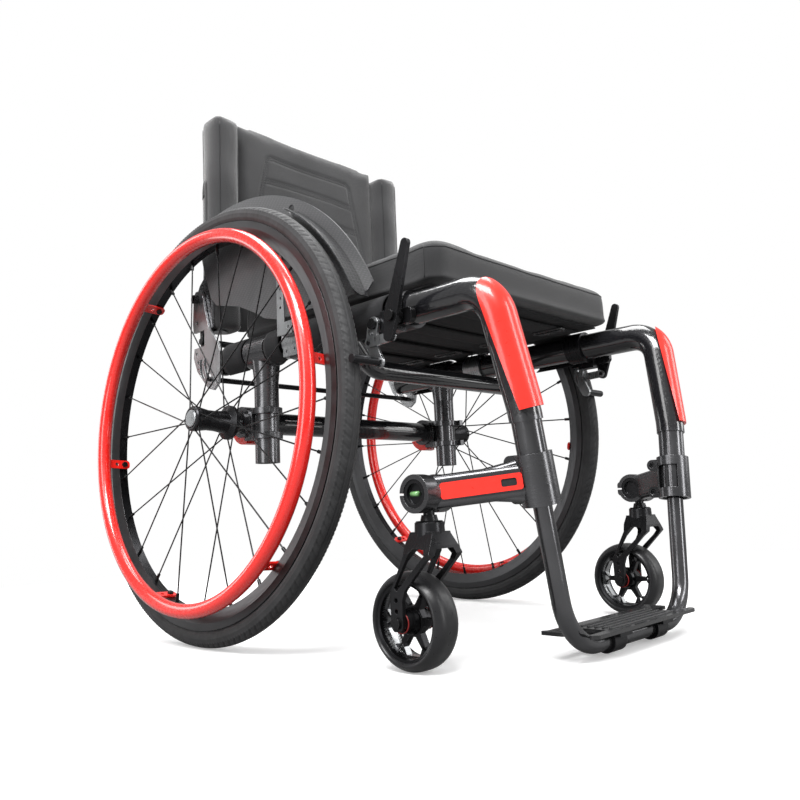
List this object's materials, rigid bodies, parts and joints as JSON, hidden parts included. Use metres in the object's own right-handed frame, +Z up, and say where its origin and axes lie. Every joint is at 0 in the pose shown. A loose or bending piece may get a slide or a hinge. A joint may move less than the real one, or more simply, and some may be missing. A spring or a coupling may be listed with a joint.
{
  "type": "manual wheelchair",
  "caption": "Rigid-frame manual wheelchair with cambered quick-release wheels, push rims, swivel casters, wheel locks, folding back, cushioned seat and footrest.",
  "frame": {"origin": "on the floor, under the middle of the chair's bounding box, 96.5 mm in front of the rear axle line", "axes": "+Z up; the user faces -Y; +X is the user's left"},
  "size_m": [0.6232, 0.789, 0.809],
  "materials": {
    "carbon_tube": "gloss lacquer over carbon weave",
    "carbon_panel": "satin carbon weave",
    "graphite_metal": "satin graphite anodised",
    "dark_metal": "black anodised, fine satin",
    "bare_metal": "brushed, clear anodised",
    "steel": "brushed",
    "black_steel": "black coated",
    "red_cover": "satin red with soft highlights",
    "red_rim": "gloss red",
    "tyre_rubber": "matt, fine tread",
    "caster_rubber": "satin",
    "black_rim": "satin black",
    "seat_fabric": "woven charcoal",
    "back_fabric": "stretch knit charcoal with stitching",
    "cushion_fabric": "soft charcoal with piping",
    "black_plastic": "fine matt"
  },
  "bodies": {
    "frame": {"quick_release_axles": "steel", "side_frames": "carbon_tube", "cross_tube": "carbon_tube", "camber_tube": "carbon_tube", "caster_arms": "graphite_metal", "axle_posts": "graphite_metal", "camber_clamps": "graphite_metal", "footrest_tube": "graphite_metal", "side_guards": "carbon_panel", "knee_covers": "red_cover", "arm_inlays": "red_cover", "clamp_caps": "red_cover", "caster_barrels": "dark_metal", "brake_rails": "dark_metal", "camber_plugs": "dark_metal", "rear_strut": "dark_metal", "guard_brackets": "bare_metal", "back_brackets": "bare_metal", "frame_screws": "black_steel", "seat_sling": "seat_fabric", "seat_cushion": "cushion_fabric"},
    "rear_wheel_left": {"rear_tyre_left": "tyre_rubber", "rear_rim_left": "black_rim", "rear_hub_left": "dark_metal", "hub_bearings_left": "steel", "spokes_left": "black_steel", "handrim_left": "red_rim", "handrim_tabs_left": "red_rim"},
    "release_left": {"release_button_left": "bare_metal"},
    "caster_swivel_left": {"caster_fork_left": "dark_metal", "caster_bolts_left": "black_steel"},
    "caster_wheel_left": {"caster_tyre_left": "caster_rubber", "caster_rim_left": "black_rim", "caster_bearings_left": "steel"},
    "lever_left": {"brake_lever_left": "dark_metal"},
    "link_left": {"brake_link_left": "bare_metal"},
    "shoe_arm_left": {"brake_arm_left": "bare_metal"},
    "rear_wheel_right": {"rear_tyre_right": "tyre_rubber", "rear_rim_right": "black_rim", "rear_hub_right": "dark_metal", "hub_bearings_right": "steel", "spokes_right": "black_steel", "handrim_right": "red_rim", "handrim_tabs_right": "red_rim"},
    "release_right": {"release_button_right": "bare_metal"},
    "caster_swivel_right": {"caster_fork_right": "dark_metal", "caster_bolts_right": "black_steel"},
    "caster_wheel_right": {"caster_tyre_right": "caster_rubber", "caster_rim_right": "black_rim", "caster_bearings_right": "steel"},
    "lever_right": {"brake_lever_right": "dark_metal"},
    "link_right": {"brake_link_right": "bare_metal"},
    "shoe_arm_right": {"brake_arm_right": "bare_metal"},
    "back": {"back_posts": "graphite_metal", "back_upholstery": "back_fabric", "rigidizer_bar": "dark_metal"},
    "back_lock": {"lock_bar": "dark_metal"},
    "foot_plate": {"footplate": "black_plastic", "footplate_clamps": "dark_metal"}
  },
  "joints": [
    {"name": "rear_wheel_spin_left", "type": "hinge", "parent": "frame", "child": "rear_wheel_left", "pos_m": [0.257, 0.0965, 0.2976], "axis": [0.9986, 0, 0.0523], "continuous": true},
    {"name": "release_press_left", "type": "slide", "parent": "frame", "child": "release_left", "axis": [-0.9986, 0, -0.0523], "range_m": [0, 0.003], "stiffness_N_per_m": 600, "springref_m": -0.0005},
    {"name": "caster_swivel_left", "type": "hinge", "parent": "frame", "child": "caster_swivel_left", "pos_m": [0.23, -0.2745, 0.15], "axis": [0, 0, 1], "continuous": true},
    {"name": "caster_spin_left", "type": "hinge", "parent": "caster_swivel_left", "child": "caster_wheel_left", "pos_m": [0.23, -0.2465, 0.0508], "axis": [1, 0, 0], "continuous": true},
    {"name": "brake_lever_left", "type": "hinge", "parent": "frame", "child": "lever_left", "pos_m": [0.233, -0.2365, 0.38], "axis": [-1, 0, 0], "range_deg": [0, 40]},
    {"name": "brake_arm_left", "type": "hinge", "parent": "frame", "child": "shoe_arm_left", "pos_m": [0.2245, -0.199, 0.3785], "axis": [-1, 0, 0], "range_deg": [0, 40]},
    {"name": "brake_link_left", "type": "hinge", "parent": "lever_left", "child": "link_left", "pos_m": [0.2285, -0.2315, 0.358], "axis": [-1, 0, 0], "range_deg": [-40, 0]},
    {"name": "rear_wheel_spin_right", "type": "hinge", "parent": "frame", "child": "rear_wheel_right", "pos_m": [-0.257, 0.0965, 0.2976], "axis": [-0.9986, 0, 0.0523], "continuous": true},
    {"name": "release_press_right", "type": "slide", "parent": "frame", "child": "release_right", "axis": [0.9986, 0, -0.0523], "range_m": [0, 0.003], "stiffness_N_per_m": 600, "springref_m": -0.0005},
    {"name": "caster_swivel_right", "type": "hinge", "parent": "frame", "child": "caster_swivel_right", "pos_m": [-0.23, -0.2745, 0.15], "axis": [0, 0, 1], "continuous": true},
    {"name": "caster_spin_right", "type": "hinge", "parent": "caster_swivel_right", "child": "caster_wheel_right", "pos_m": [-0.23, -0.2465, 0.0508], "axis": [1, 0, 0], "continuous": true},
    {"name": "brake_lever_right", "type": "hinge", "parent": "frame", "child": "lever_right", "pos_m": [-0.233, -0.2365, 0.38], "axis": [-1, 0, 0], "range_deg": [0, 40]},
    {"name": "brake_arm_right", "type": "hinge", "parent": "frame", "child": "shoe_arm_right", "pos_m": [-0.2245, -0.199, 0.3785], "axis": [-1, 0, 0], "range_deg": [0, 40]},
    {"name": "brake_link_right", "type": "hinge", "parent": "lever_right", "child": "link_right", "pos_m": [-0.2285, -0.2315, 0.358], "axis": [-1, 0, 0], "range_deg": [-40, 0]},
    {"name": "back_fold", "type": "hinge", "parent": "frame", "child": "back", "pos_m": [0, 0.2005, 0.499], "axis": [1, 0, 0], "range_deg": [0, 64]},
    {"name": "back_lock_lift", "type": "slide", "parent": "back", "child": "back_lock", "axis": [0, 0, 1], "range_m": [0, 0.008]},
    {"name": "footplate_tilt", "type": "hinge", "parent": "frame", "child": "foot_plate", "pos_m": [0, -0.3695, 0.016], "axis": [1, 0, 0], "range_deg": [-6, 8]}
  ],
  "couplings": [
    {"joint": "brake_arm_left", "follows": "brake_lever_left", "ratio": 1},
    {"joint": "brake_link_left", "follows": "brake_lever_left", "ratio": -1},
    {"joint": "brake_arm_right", "follows": "brake_lever_right", "ratio": 1},
    {"joint": "brake_link_right", "follows": "brake_lever_right", "ratio": -1}
  ]
}
